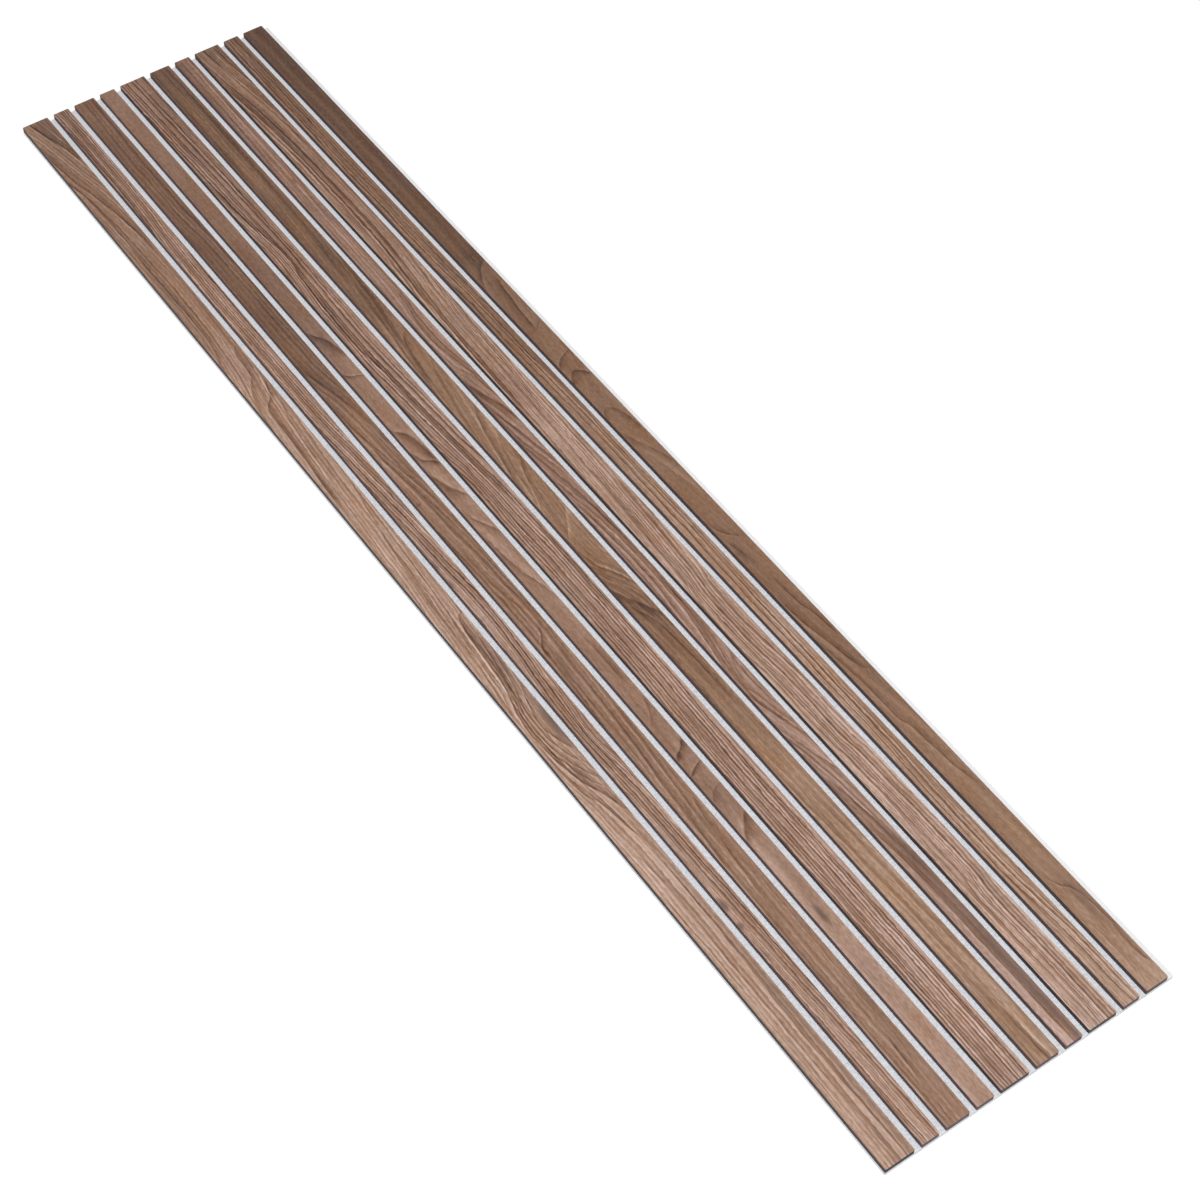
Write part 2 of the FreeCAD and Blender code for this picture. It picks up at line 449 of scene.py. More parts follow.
FIGURES["slat_05"] = Figure(
    rate=1.0, spacing=6.2, lines=0.50, streaks=0.38, warmth=-0.03,
    tone=((0, 0.52), (600, 0.61), (1200, 0.68), (1800, 0.73), (2400, 0.75), (3000, 0.80)),
    run=((0, -4), (300, 2), (550, 6), (800, 6), (1000, 4), (1150, 9), (1300, 16), (1500, 30),
         (1700, 34), (1900, 34), (2250, 27), (2500, 29), (3000, 31)),
    bends=((690, -24, 120, 22, 14), (1400, -22, 140, 20, 6)),
    patches=((690, -22, 30, 5, 0.12), (1820, 22, 60, 5, 0.05)),
    veins=(
        (4, 0.20, (100, 5), (250, 13), (400, 16), (560, 14), (700, 13)),
        (6, 0.34, (430, -26), (540, -17), (620, -5), (680, -1), (760, -9), (860, -14),
         (960, -17), (1060, -9), (1160, -6), (1260, -2), (1380, 6), (1500, 14)),
        (4, 0.14, (610, -27), (660, -20), (700, -22), (755, -28)),
        (4, 0.24, (1600, 20), (1720, 18), (1830, 13)),
        (3, 0.20, (1500, -12), (1700, -8), (1900, -8), (2100, -8), (2260, -14)),
        (3, 0.22, (2230, 13), (2420, 11), (2520, 14), (2640, 14), (2700, 17), (2850, 17),
         (3000, 19)),
        (3, 0.22, (2230, -15), (2450, -17), (2600, -19), (2850, -19), (3000, -12)),
        (4, -0.12, (1000, 0), (1100, 3), (1230, 9)),
    ),
)

FIGURES["slat_06"] = Figure(
    rate=0.4, spacing=6.5, lines=0.14, streaks=0.30, warmth=0.08,
    tone=((0, 0.42), (600, 0.46), (800, 0.45), (1000, 0.57), (1200, 0.69), (1700, 0.65),
          (1900, 0.53), (2400, 0.75), (3000, 0.75)),
    run=((0, 0), (500, 0), (800, -14), (1000, -34), (1200, -60), (1400, -90), (1600, -122),
         (1660, -124), (1750, -104), (1850, -70), (1950, -60), (2250, -54), (2600, -40),
         (3000, -30)),
    patches=((250, 14, 300, 8, -0.19), (200, -21, 260, 4, -0.20), (300, -9, 260, 6, 0.11),
             (730, 6, 90, 14, -0.12), (1860, 2, 60, 12, -0.06)),
    veins=(
        (4, -0.14, (90, -3), (230, 0), (330, -3), (450, -1), (600, -6), (750, -15)),
        (6, 0.22, (845, 3), (900, -4), (960, -7), (1050, -15), (1160, -23)),
        (7, 0.22, (1005, 20), (1025, 5), (1080, -7), (1150, -13), (1240, -23)),
        (5, 0.16, (1100, 20), (1150, 6), (1220, -6), (1300, -18), (1370, -23)),
        (6, 0.22, (1260, 21), (1300, 8), (1350, -4), (1420, -14), (1480, -23)),
        (5, 0.20, (1340, 21), (1370, 10), (1430, -3), (1510, -15)),
        (4, 0.16, (1425, 21), (1450, 10), (1500, -4), (1565, -21)),
        (3, -0.18, (1500, -5), (1540, -17), (1575, -23)),
        (5, -0.18, (1580, 20), (1610, 5), (1655, -20)),
        (-7, 0.22, (1650, -23), (1720, -17), (1750, -6), (1770, 6), (1805, 20)),
        (4, -0.16, (1738, -8), (1765, 8), (1795, 20)),
        (4, -0.14, (1778, -16), (1805, 2), (1835, 16)),
        (-10, 0.28, (1805, -23), (1835, -10), (1860, 4), (1895, 19)),
        (-6, 0.20, (1845, -22), (1880, -6), (1930, 6), (2000, 10), (2110, 14)),
        (4, -0.10, (1890, -20), (1950, -12), (2050, -12), (2130, -19)),
        (5, 0.16, (2240, -15), (2330, -9), (2430, -8)),
        (4, 0.14, (2390, 3), (2470, 8), (2560, 10), (2700, 14), (2810, 20)),
        (3, -0.20, (2785, -3), (2870, 0), (2930, 5), (3000, 9)),
        (-5, 0.16, (2800, -7), (2880, -5), (2950, -1), (3000, 3)),
        (3, 0.14, (2670, -14), (2850, -16), (3000, -19)),
    ),
)

FIGURES["slat_07"] = Figure(
    rate=0.6, spacing=6.0, lines=0.20, streaks=0.30, warmth=-0.05,
    tone=((0, 0.56), (600, 0.68), (1200, 0.67), (1800, 0.72), (2300, 0.75), (2600, 0.73),
          (3000, 0.90)),
    run=((0, 0), (300, -4), (600, -8), (900, -14), (1050, -22), (1200, 0), (1400, 30), (1500, 44),
         (1650, 58), (1800, 62), (1950, 54), (2080, 36), (2110, 34), (2200, 46), (2300, 66),
         (2500, 86), (2700, 100), (3000, 106)),
    patches=((490, 4, 8, 3, -0.26), (150, -15, 200, 3, -0.18), (250, 2, 220, 5, 0.07),
             (2730, 10, 190, 11, -0.20), (2950, 12, 120, 9, -0.20), (2900, -11, 130, 5, 0.14)),
    veins=(
        (4, 0.14, (0, 14), (100, 12), (220, 10), (270, 14)),
        (4, 0.20, (0, -11), (60, -9), (130, -10), (200, -9), (300, -10), (430, -17)),
        (4, 0.14, (400, 16), (500, 13), (580, 7), (650, 12)),
        (4, 0.12, (340, -2), (450, -4), (560, -8), (720, -13)),
        (4, 0.22, (905, 15), (925, 4), (960, 1), (1040, -8), (1090, -6), (1150, 4), (1210, 11),
         (1265, 16)),
        (-12, 0.26, (1205, -17), (1250, -4), (1290, 8), (1330, 17)),
        (4, -0.14, (1265, -12), (1340, 2), (1405, 13)),
        (-6, 0.24, (1285, -16), (1350, -3), (1430, 10), (1465, 16)),
        (-5, 0.22, (1295, -18), (1400, -9), (1450, 1), (1510, 12)),
        (4, 0.20, (1495, -12), (1560, -2), (1620, 8), (1690, 13)),
        (4, 0.26, (1515, -17), (1580, -8), (1660, 2), (1750, 7), (1900, 5), (1950, 0),
         (2000, -7), (2065, -17)),
        (4, 0.24, (1590, -17), (1700, -7), (1800, -4), (1870, -8), (1930, -14)),
        (4, 0.20, (1840, 10), (1950, 11), (2010, 5), (2060, -4), (2125, -13)),
        (3, 0.22, (2075, 16), (2100, 8), (2120, 8), (2155, 16)),
        (4, 0.14, (2035, 16), (2075, 2), (2105, -6)),
        (5, 0.18, (2120, -11), (2160, 0), (2210, 8), (2235, 15)),
        (4, 0.16, (2140, -17), (2180, -8), (2215, 0), (2228, 13)),
        (-5, 0.20, (2265, -8), (2310, 2), (2340, 11), (2365, 17)),
        (-7, 0.26, (2355, -18), (2390, -9), (2460, 0), (2540, 9), (2630, 17)),
        (6, 0.24, (2490, -17), (2560, -9), (2640, -5), (2750, -4), (2830, -2), (2950, -1),
         (3000, 1)),
    ),
)

FIGURES["slat_08"] = Figure(
    rate=0.95, spacing=6.4, lines=0.46, streaks=0.40, warmth=0.0,
    tone=((0, 0.52), (600, 0.70), (1200, 0.79), (1800, 0.80), (2400, 0.83), (3000, 0.89)),
    run=((0, 0), (100, 8), (200, 20), (300, 28), (450, 34), (600, 37), (750, 36), (850, 31),
         (950, 22), (1100, 15), (1300, 8), (1500, 4), (1700, -3), (1850, -12), (1950, -20),
         (2050, -19), (2150, -13), (2300, -12), (2350, -7), (2550, -2), (2640, -1), (2720, -6),
         (2850, -3), (3000, -3)),
    patches=((200, 2, 90, 9, 0.10), (420, 12, 300, 7, 0.05), (2400, 26, 500, 6, 0.03)),
    veins=(
        (6, 0.20, (0, 13), (60, 15), (100, 22), (160, 30)),
        (6, 0.18, (0, -7), (60, -2), (130, 8), (200, 16), (290, 26)),
        (7, 0.36, (140, -28), (230, -20), (300, -14), (400, -9), (500, -7), (620, -7),
         (750, -8), (820, -12), (900, -18), (1050, -22), (1300, -26)),
        (5, 0.28, (190, -11), (300, -4), (400, 1), (520, 3), (650, 4), (750, 2), (860, -4)),
        (4, 0.14, (290, 25), (450, 18), (600, 20), (750, 18), (900, 8), (1000, -2),
         (1200, -8), (1400, -14)),
        (4, 0.28, (370, -22), (480, -17), (560, -17), (750, -20), (910, -28)),
        (4, 0.18, (930, 23), (1000, 14), (1100, 8), (1250, 2), (1410, -4)),
        (4, 0.18, (990, 27), (1080, 20), (1150, 16), (1310, 10)),
        (4, 0.26, (1570, 20), (1700, 15), (1790, 11), (1850, 7), (1940, -3)),
        (5, 0.22, (1550, -6), (1650, -8), (1750, -14), (1850, -18), (1930, -28)),
        (4, 0.24, (1860, 23), (1930, 14), (2010, 14), (2090, 20), (2200, 29)),
        (4, 0.20, (1940, -5), (2000, -6), (2100, -1), (2180, 4), (2300, 2), (2350, 8),
         (2460, 11), (2560, 12), (2640, 14), (2710, 8), (2850, 11), (3000, 11)),
        (3, 0.20, (1950, -18), (2100, -17), (2250, -14), (2380, -10), (2500, -6), (2600, -9),
         (2720, -7), (2850, -4), (3000, -8)),
        (3, 0.20, (2320, -21), (2450, -16), (2600, -21), (2800, -20), (3000, -20)),
    ),
)

FIGURES["slat_09"] = Figure(
    rate=1.0, spacing=5.8, lines=0.33, streaks=0.34, warmth=0.05,
    tone=((0, 0.48), (600, 0.50), (1200, 0.56), (1800, 0.77), (2400, 0.76), (3000, 0.85)),
    run=((0, 0), (250, -2), (750, 0), (1000, 6), (1300, 12), (1500, 16), (1900, 13), (2300, 11),
         (2650, 9), (2750, 13), (2850, 19), (3000, 22)),
    veins=(
        (4, 0.16, (0, 4), (60, 7), (230, 12)),
        (4, 0.14, (190, 2), (260, 5), (350, 1)),
        (4, 0.14, (80, -13), (250, -10), (410, -14)),
        (3, 0.22, (1060, 1), (1180, 4), (1260, 10), (1410, 13)),
        (3, 0.22, (1480, 8), (1650, 7), (1850, 7), (1950, 3), (2150, 2), (2360, 0)),
        (3, 0.18, (1490, -4), (1750, -5), (2000, -7), (2210, -9)),
        (3, 0.15, (2230, 13), (2450, 9), (2570, 12)),
        (3, 0.17, (2230, -3), (2450, -4), (2640, -2), (2760, 3), (2850, 10), (3000, 14)),
        (3, 0.14, (2690, -13), (2850, -6), (2930, -3), (3000, -2)),
    ),
)

FIGURES["slat_10"] = Figure(
    rate=0.2, spacing=6.0, lines=0.05, streaks=0.15, warmth=0.07,
    tone=((0, 0.28), (600, 0.35), (900, 0.40), (960, 0.52), (1200, 0.56), (1800, 0.58),
          (2400, 0.61), (3000, 0.86)),
    run=((0, 0), (800, 0), (950, -10), (1250, -60), (1420, -90), (1550, -70), (1900, -30),
         (2200, 0), (2450, 30), (2750, 40), (3000, 60)),
    bends=((1300, -2, 60, 16, 20), (1440, 2, 60, 14, 20), (2820, 0, 50, 10, 30)),
    patches=((910, 10, 40, 30, -0.10), (1865, -12, 20, 5, -0.24), (2465, 10, 20, 5, 0.14),
             (2800, 8, 60, 10, -0.16), (2900, 17, 60, 6, -0.10), (2840, -9, 110, 8, 0.08),
             (1490, 6, 40, 8, 0.06)),
    veins=(
        (-8, 0.20, (922, 23), (942, 4), (965, -10), (1005, -24)),
        (-5, 0.30, (990, 14), (1050, 7), (1100, 2), (1155, -1)),
        (-4, 0.16, (1140, 20), (1150, 8), (1158, 1)),
        (9, 0.24, (1240, 22), (1248, 5), (1256, -8), (1278, -23)),
        (-9, 0.26, (1295, -5), (1303, 8), (1320, 20)),
        (9, 0.22, (1295, -2), (1305, -14), (1330, -24)),
        (-7, 0.18, (1415, -10), (1425, 4), (1450, 14), (1505, 20)),
        (6, 0.16, (1415, -8), (1425, -18), (1445, -24)),
        (-8, 0.14, (1498, -18), (1530, -6), (1560, 6), (1605, 20)),
        (8, -0.12, (1540, -14), (1620, 4), (1690, 18)),
        (5, 0.22, (1788, -17), (1810, -8), (1822, 2), (1832, 14)),
        (4, 0.18, (1835, -18), (1865, -11), (1905, -6)),
        (4, 0.24, (1950, 1), (2020, 5), (2060, 13), (2110, 18)),
        (5, 0.28, (2010, -21), (2090, -14), (2140, -5), (2195, 4), (2215, 16)),
        (4, 0.24, (2130, -23), (2190, -16), (2250, -12), (2330, -10), (2360, -2), (2420, 2),
         (2480, 8), (2515, 15)),
        (4, 0.28, (2742, -15), (2765, -4), (2780, 8), (2820, 16), (2880, 18)),
        (4, 0.22, (2870, 19), (2900, 14), (2960, 21)),
        (3, 0.12, (2840, -20), (2900, -11), (2970, -16)),
    ),
)


# Node groups for the walnut

def new_group(name, inputs):
    """Empty node group with these number inputs and one output, called value."""
    tree = bpy.data.node_groups.new(name, "ShaderNodeTree")
    for given in inputs:
        tree.interface.new_socket(given, in_out="INPUT", socket_type="NodeSocketFloat")
    tree.interface.new_socket("value", in_out="OUTPUT", socket_type="NodeSocketFloat")
    net = Net(tree)
    return tree, net, net.node("NodeGroupInput").outputs


HILL_INPUTS = ("along", "across", "at along", "at across", "half length", "half width", "height")


def hill_group():
    """Smooth round hill that stands at one place."""
    tree, net, given = new_group("hill", HILL_INPUTS)
    far_along = net.math("SUBTRACT", given["along"], given["at along"])
    far_across = net.math("SUBTRACT", given["across"], given["at across"])
    along = net.math("DIVIDE", far_along, given["half length"])
    across = net.math("DIVIDE", far_across, given["half width"])
    distance = net.add(net.times(along, along), net.times(across, across))
    hill = net.math("EXPONENT", net.times(distance, -1.0))
    net.node("NodeGroupOutput", {"value": net.times(hill, given["height"])})
    return tree


VEIN_INPUTS = ("along", "off", "width", "dark", "first", "last", "fade")

# Across a vein, in its widths from its line: where its sharp side darkens, and where the paler
# band beside that side comes and goes
VEIN_DARKENS = (-0.45, 0.0)
PALE_COMES = (-2.0, -0.6)
PALE_GOES = (-0.5, -0.2)
PALE_SHARE = 0.22


def vein_group():
    """How much one vein darkens the wood; just off its sharp edge the wood is a little paler."""
    tree, net, given = new_group("vein", VEIN_INPUTS)
    off = net.math("DIVIDE", given["off"], given["width"])
    sharp = net.range(off, *VEIN_DARKENS)
    soft = net.math("EXPONENT", net.times(net.math("MAXIMUM", off, 0.0), -1.0))
    comes = net.range(off, *PALE_COMES, 0.0, PALE_SHARE)
    goes = net.range(off, *PALE_GOES, 1.0, 0.0)
    shade = net.math("SUBTRACT", net.times(sharp, soft), net.times(comes, goes))
    begun = net.math("DIVIDE", net.math("SUBTRACT", given["along"], given["first"]), given["fade"])
    left = net.math("DIVIDE", net.math("SUBTRACT", given["last"], given["along"]), given["fade"])
    window = net.times(net.range(begun, -1.0, 1.0), net.range(left, -1.0, 1.0))
    net.node("NodeGroupOutput", {"value": net.times(net.times(shade, given["dark"]), window)})
    return tree


def hills(net, group, along, across, places):
    """Sum of the hills at these places."""
    total = 0.0
    for place in places:
        total = net.math("ADD", net.group(group, (along, across, *place)), total)
    return total


def height_curve(net, along, points):
    """Smooth curve through (place along, value) points, whatever their ranges."""
    first, last = points[0][0], points[-1][0]
    values = [value for place, value in points]
    low = min(values)
    span = max(values) - low or 1.0
    scaled = [((place - first) / (last - first), (value - low) / span) for place, value in points]
    share = net.range(along, first, last, kind="LINEAR")
    return net.math("MULTIPLY_ADD", net.curve(share, scaled), span, low)


# A vein fades in and out over this many millimetres, but not over more than a sixth of its length
VEIN_FADE = 40
VEIN_PARTS = 6


def vein_shades(net, group, along, across, marks):
    """How much these veins darken the wood."""
    total = 0.0
    for width, dark, *points in marks:
        first, last = points[0][0], points[-1][0]
        fade = min(VEIN_FADE, (last - first) / VEIN_PARTS)
        off = net.math("SUBTRACT", across, height_curve(net, along, points))
        shade = net.group(group, (along, off, width, dark, first, last, fade))
        total = net.math("ADD", shade, total)
    return total


# Walnut material

# Noises over a leaf: changes per millimetre across and along the grain, detail, roughness
LEAF_NOISES = {
    "slow": (0.02, 0.004, 2.0, 0.5),
    "quick": (0.10, 0.022, 3.0, 0.5),
    "chatter": (0.30, 0.085, 2.0, 0.5),
    "fibres": (0.4, 0.006, 4.0, 0.7),
    "hair": (2.6, 0.030, 3.0, 0.6),
    "clouds": (0.05, 0.008, 3.0, 0.5),
    "pores": (3.4, 0.26, 1.0, 0.5),
    "blush": (0.03, 0.009, 2.0, 0.5),
}
LEAF_SEED = 7.3  # from the noises of one leaf to those of the next
RING_SEED = 10  # millimetres of ring depth for a seed of 1
BLUSH_SEED = 3.1  # sets this noise apart from the warps, which change about as slowly

# How far the warps of the log push its lines aside, in millimetres for a noise of 1
SLOW_SWAY = 9.0
QUICK_SWAY = 5.0
CHATTER_SWAY = 3.0

# Growth lines, in rings. Noises along the rings: changes per ring, detail
RING_NOISE = (0.37, 1.0)
RING_SWAY = 1.1
DARK_NOISE = (0.9, 2.0)
FAINT_TO_FULL = (-0.15, 0.15)
FAINTEST = 0.20
RING_DARKENS = (0.10, 0.68)
RING_ENDS = (0.72, 1.0)
RING_MEAN = 0.28  # taken off, so that the lines leave the mean tone about as it is
LINE_WEIGHT = 1.1

# Streaks along the rings: changes per millimetre of depth, detail, roughness
BAND_NOISE = (0.10, 2.0, 0.6)
STREAK_NOISE = (0.36, 1.0, 0.5)

# Weights in the tone, the first two for streaks of 1
STREAK_WEIGHT = 1.2
FIBRE_WEIGHT = 1.4
HAIR_WEIGHT = 0.24
SHIMMER_WEIGHT = 0.40
PORE_NOISE = (0.16, 0.26)
PORE_WEIGHT = 0.16
VEIN_NOISE = (-0.2, 0.2)
VEIN_WEIGHTS = (0.95, 1.50)

BLUSH = 0.32  # how far the saturation strays, for a noise of 1
GREY_RISE = 3.5  # how soon a darker patch turns grey
GREY_GROUND = (0.45, 0.70)  # tones of the wood round it, from no grey to the most
GREY_MOST = 0.55

WALNUT_SPECULAR = 0.35
WALNUT_TONES = (0.2, 0.9)
WALNUT_ROUGHNESS = (0.50, 0.60)
PORE_RELIEF = 1.5
HAIR_RELIEF = 0.8
WALNUT_BUMP = (0.5, 0.3 * MM)


def leaf_noise(net, kind, across, along, seed):
    """Noise over one leaf, which its seed sets apart from the same noise in the others."""
    by_across, by_along, detail, roughness = LEAF_NOISES[kind]
    place = net.place(net.times(across, by_across), net.times(along, by_along), seed)
    return net.noise(place, 1.0, detail, roughness)


def growth_lines(net, depth, figure):
    """Share of the growth lines in the tone: each ring darkens slowly, then ends sharply."""
    ring = net.math("DIVIDE", depth, figure.spacing)
    ring = net.math("MULTIPLY_ADD", net.noise_line(ring, *RING_NOISE), RING_SWAY, ring)
    part = net.math("FRACT", ring)
    line = net.times(net.range(part, *RING_DARKENS), net.range(part, *RING_ENDS, 1.0, 0.0))
    strength = net.range(net.noise_line(ring, *DARK_NOISE), *FAINT_TO_FULL, FAINTEST, 1.0)
    line = net.math("SUBTRACT", net.times(line, strength), RING_MEAN)
    return net.times(line, -LINE_WEIGHT * figure.lines)


def wood_colour(net, tone, figure, blush):
    """Brown of this tone, a little redder in some places and greyer in others."""
    stops = [(at, warmer(colour, figure.warmth)) for at, colour in WALNUT]
    colour = net.ramp(net.times(tone, 1 / TONE_TOP), stops)
    saturation = net.math("MULTIPLY_ADD", blush, BLUSH, 1.0)
    changed = net.node("ShaderNodeHueSaturation", {"Saturation": saturation, "Color": colour})
    return changed.outputs["Color"]


def grey_heart(net, colour, patch, ground_and_sheen):
    """The colour, but greyish in dark patches of pale wood."""
    grey = net.math("MULTIPLY", patch, -GREY_RISE, clamp=True)
    grey = net.times(grey, net.range(ground_and_sheen, *GREY_GROUND, 0.0, GREY_MOST))
    mixed = net.node(
        "ShaderNodeMix", {"Factor": grey, "A": colour, "B": GREY_HEART}, data_type="RGBA"
    )
    return mixed.outputs["Result"]


def walnut(name, figure, hill, mark):
    """Walnut leaf: growth lines where the ring depth passes a whole number of spacings."""
    low, high = (Vector(corner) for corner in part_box(f"{name}_veneer"))
    middle = (low.x + high.x) / 2
    number = SLATS.index(name) + 1
    seed = number * LEAF_SEED
    constants = {"Specular IOR Level": WALNUT_SPECULAR}
    material, net, shader = new_material(f"walnut_{number:02d}", constants)
    x, y, _ = object_place(net)[1]
    across = net.math("MULTIPLY_ADD", x, 1 / MM, -middle / MM)
    along = net.math("MULTIPLY_ADD", y, -1 / MM, HIGH.y / MM)

    # Warps of the log: slow ones along the whole leaf, then shorter ones
    slow = leaf_noise(net, "slow", across, along, seed)
    quick = leaf_noise(net, "quick", across, along, seed)
    chatter = leaf_noise(net, "chatter", across, along, seed)
    short_sways = (net.times(quick, QUICK_SWAY), net.times(chatter, CHATTER_SWAY))
    warped = net.add(across, net.times(slow, SLOW_SWAY), *short_sways)
    wavering = net.add(across, *short_sways)

    # Ring depth: how deep in the log a place lies, by the figure's run and bends
    depth = net.math("SUBTRACT", warped, height_curve(net, along, figure.run))
    depth = net.math("SUBTRACT", depth, hills(net, hill, along, across, figure.bends))
    depth = net.math("MULTIPLY_ADD", depth, figure.rate, seed * RING_SEED)
    lines = growth_lines(net, depth, figure)

    # Streaks that follow the rings, and straight ones that follow the fibres
    band_share = figure.streaks * STREAK_WEIGHT
    bands = net.times(net.noise_line(depth, *BAND_NOISE), band_share)
    streaks = net.times(net.noise_line(depth, *STREAK_NOISE), band_share)
    fibres = leaf_noise(net, "fibres", warped, along, seed)
    fibres = net.times(fibres, figure.streaks * FIBRE_WEIGHT)
    hair = net.times(leaf_noise(net, "hair", across, along, seed), HAIR_WEIGHT)
    clouds = net.times(leaf_noise(net, "clouds", across, along, seed), figure.streaks)
    shimmer = net.times(chatter, SHIMMER_WEIGHT)

    # Pores: short dark dashes along the grain
    pores = leaf_noise(net, "pores", across, along, seed)
    pores = net.range(pores, *PORE_NOISE, 0.0, -PORE_WEIGHT)

    # The marked veins, uneven along their length
    weight = net.range(quick, *VEIN_NOISE, -VEIN_WEIGHTS[0], -VEIN_WEIGHTS[1])
    veins = net.times(vein_shades(net, mark, along, wavering, figure.veins), weight)

    patch = hills(net, hill, along, wavering, figure.patches)
    # The tone along the slat: its own tone, with a painted sheen that lightens it toward the near
    # end
    ground_and_sheen = height_curve(net, along, figure.tone)
    tone = net.add(
        ground_and_sheen, patch, veins, lines, bands, streaks, fibres, hair, clouds, shimmer, pores,
    )
    blush = leaf_noise(net, "blush", across, along, seed + BLUSH_SEED)
    colour = grey_heart(net, wood_colour(net, tone, figure, blush), patch, ground_and_sheen)
    roughness = net.range(tone, *WALNUT_TONES, *WALNUT_ROUGHNESS)
    relief = net.add(net.times(pores, PORE_RELIEF), net.times(hair, HAIR_RELIEF))
    finish_surface(net, shader, colour, roughness, relief, *WALNUT_BUMP)
    return material


# Black core boards. From here on a noise is given by its changes per metre, its detail and its
# roughness; a stretched one has its changes per metre along X, Y and Z.

# How light the board of each slat is, from slat_01 to slat_10; the wide ones are the blackest
CORE_TONES = (0.28, 1.6, 1.6, 1.45, 0.62, 1.4, 1.2, 0.48, 1.35, 1.0)
CORE_COLOURS = ((0.2, srgb(60, 48, 51)), (0.6, srgb(84, 68, 72)), (1.0, srgb(118, 101, 104)))
CORE_GRAIN = (900.0, 4.0, 0.7)
CORE_FLECKS = (2600.0, 2.0)
FLECK_NOISE = (0.14, 0.3)
FLECK_WEIGHT = 0.4
CORE_LAYERS = (30, 30, 900)
LAYER_DETAIL = 2.0
LAYER_WEIGHT = 0.5
CORE_MEAN = 0.45
CORE_ROUGHNESS = 0.75
CORE_BUMP = (0.6, 0.15 * MM)


def core_board(name):
    number = SLATS.index(name) + 1
    tone = CORE_TONES[number - 1]
    material, net, shader = new_material(f"black_core_{number:02d}")
    place, axes = object_place(net)
    grain = net.noise(place, *CORE_GRAIN)
    flecks = net.range(net.noise(place, *CORE_FLECKS), *FLECK_NOISE, 0.0, FLECK_WEIGHT)
    layers = net.noise(net.stretched(axes, CORE_LAYERS), 1.0, LAYER_DETAIL)
    shade = net.add(grain, net.times(layers, LAYER_WEIGHT), flecks, CORE_MEAN)
    colour = net.ramp(shade, [(at, darker(stop, tone)) for at, stop in CORE_COLOURS])
    finish_surface(net, shader, colour, CORE_ROUGHNESS, shade, *CORE_BUMP)
    return material


# Felt material

FELT_COLOURS = (
    (0.10, srgb(208, 211, 217)),
    (0.45, srgb(230, 232, 237)),
    (0.75, srgb(241, 242, 245)),
    (1.00, srgb(249, 249, 250)),
)
FELT_CONSTANTS = {"Specular IOR Level": 0.15, "Sheen Weight": 0.25, "Sheen Roughness": 0.5}
FELT_ROUGHNESS = 0.95
FELT_BUMP = (0.5, 0.25 * MM)

# Fluff: a tangle, single fibres both ways and soft clouds
FELT_TANGLE = (420.0, 5.0, 0.72)
TANGLE_WEIGHT = 1.3
FIBRES_ALONG = (900, 260, 900)
FIBRES_ACROSS = (260, 900, 900)
FIBRE_DETAIL = (3.0, 0.7)
FELT_FIBRE_WEIGHT = 0.7
FELT_CLOUD = (250.0, 2.0)
CLOUD_WEIGHT = 1.4
FLUFF_MEAN = 0.44
# How much the painted light pales the felt beside the slats, on the margin and on the cut edges
PAINTED_LIGHT_WEIGHT = 0.55
FAR_PAINTED_LIGHT = 0.15  # painted light: how much paler the felt is painted at the far end than at its middle, where the lamp lights it less

# Painted light: a pale line beside each slat's right side, from the slat: where it comes and where
# it goes
LIT_LINE_COMES = (-0.5 * MM, 0.5 * MM)
LIT_LINE_GOES = (3.0 * MM, 5.0 * MM)
LIT_MARGIN_COMES = 1.0 * MM  # the margin's painted light comes over this width
LIT_CUT_EDGE = (0.6, 0.9)  # of the felt's height: below the first its cut edge is palest, in painted light


def painted_light_on_felt(net, x, z):
    """Where light is painted on the felt, which is paler there: along the right side of every
    slat, on the margin past the last slat, and on the cut edges."""
    lit_edges = 0.0
    for start, _ in GAPS:
        comes = net.range(x, start + LIT_LINE_COMES[0], start + LIT_LINE_COMES[1])
        goes = net.range(x, start + LIT_LINE_GOES[0], start + LIT_LINE_GOES[1], 1.0, 0.0)
        lit_edges = net.math("ADD", net.times(comes, goes), lit_edges)
    margin = GAPS[-1][0]
    lit_edges = net.math("MAXIMUM", lit_edges, net.range(x, margin, margin + LIT_MARGIN_COMES))
    low, high = (share * FELT_TOP for share in LIT_CUT_EDGE)
    return net.math("MAXIMUM", lit_edges, net.range(z, low, high, 1.0, 0.0))


def felt_material():
    material, net, shader = new_material("felt", FELT_CONSTANTS)
    place, axes = object_place(net)
    x, y, z = axes
    tangle = net.noise(place, *FELT_TANGLE)
    along = net.noise(net.stretched(axes, FIBRES_ALONG), 1.0, *FIBRE_DETAIL)
    across = net.noise(net.stretched(axes, FIBRES_ACROSS), 1.0, *FIBRE_DETAIL)
    fibres = net.times(net.math("MAXIMUM", along, across), FELT_FIBRE_WEIGHT)
    cloud = net.times(net.noise(place, *FELT_CLOUD), CLOUD_WEIGHT)
    fluff = net.add(net.times(tangle, TANGLE_WEIGHT), fibres, cloud, FLUFF_MEAN)
    # Painted light: the felt is painted paler toward the far end, where the lamp lights it less
    painted_far_light = net.range(y, 0.0, HIGH.y, 0.0, FAR_PAINTED_LIGHT)
    # Painted light also pales the felt beside each slat, on the margin and on the cut edges
    shade = net.add(fluff, net.times(painted_light_on_felt(net, x, z), PAINTED_LIGHT_WEIGHT), painted_far_light)
    colour = net.ramp(shade, FELT_COLOURS)
    finish_surface(net, shader, colour, FELT_ROUGHNESS, fluff, *FELT_BUMP)
    return material


# Staple wire

